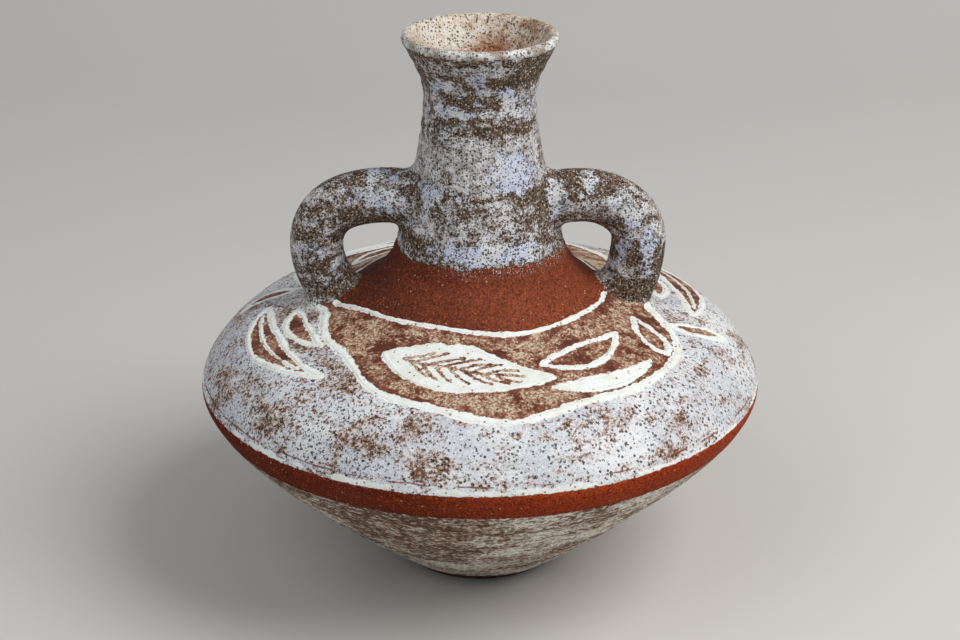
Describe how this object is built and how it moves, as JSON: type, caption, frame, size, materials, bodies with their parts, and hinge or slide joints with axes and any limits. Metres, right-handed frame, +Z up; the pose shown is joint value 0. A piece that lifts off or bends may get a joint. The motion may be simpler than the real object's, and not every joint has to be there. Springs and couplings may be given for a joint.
{
  "type": "earthenware vase",
  "caption": "Wide, low-bellied earthenware vase with a narrow flared neck, a thick loop handle on each side of the neck and a small foot ring.",
  "frame": {"origin": "on the table, under the middle of the foot ring", "axes": "+Z up along the axis of the neck; +X through the right-hand handle as seen from the decorated front; -Y towards that front"},
  "size_m": [0.28, 0.28, 0.2751],
  "materials": {
    "dark_clay": "matt, unglazed",
    "streaked_glaze": "satin, thin brushed glaze",
    "speckled_glaze": "satin, speckled",
    "dark_glaze": "satin, mottled",
    "handle_glaze": "satin, mottled",
    "raw_clay": "matt"
  },
  "bodies": {
    "root": {"foot_ring": "dark_clay", "lower_bowl": "streaked_glaze", "shoulder": "speckled_glaze", "neck": "dark_glaze", "handle_left": "handle_glaze", "handle_right": "handle_glaze", "belly_seam_coil": "raw_clay", "neck_seam_coil": "raw_clay"}
  },
  "joints": []
}
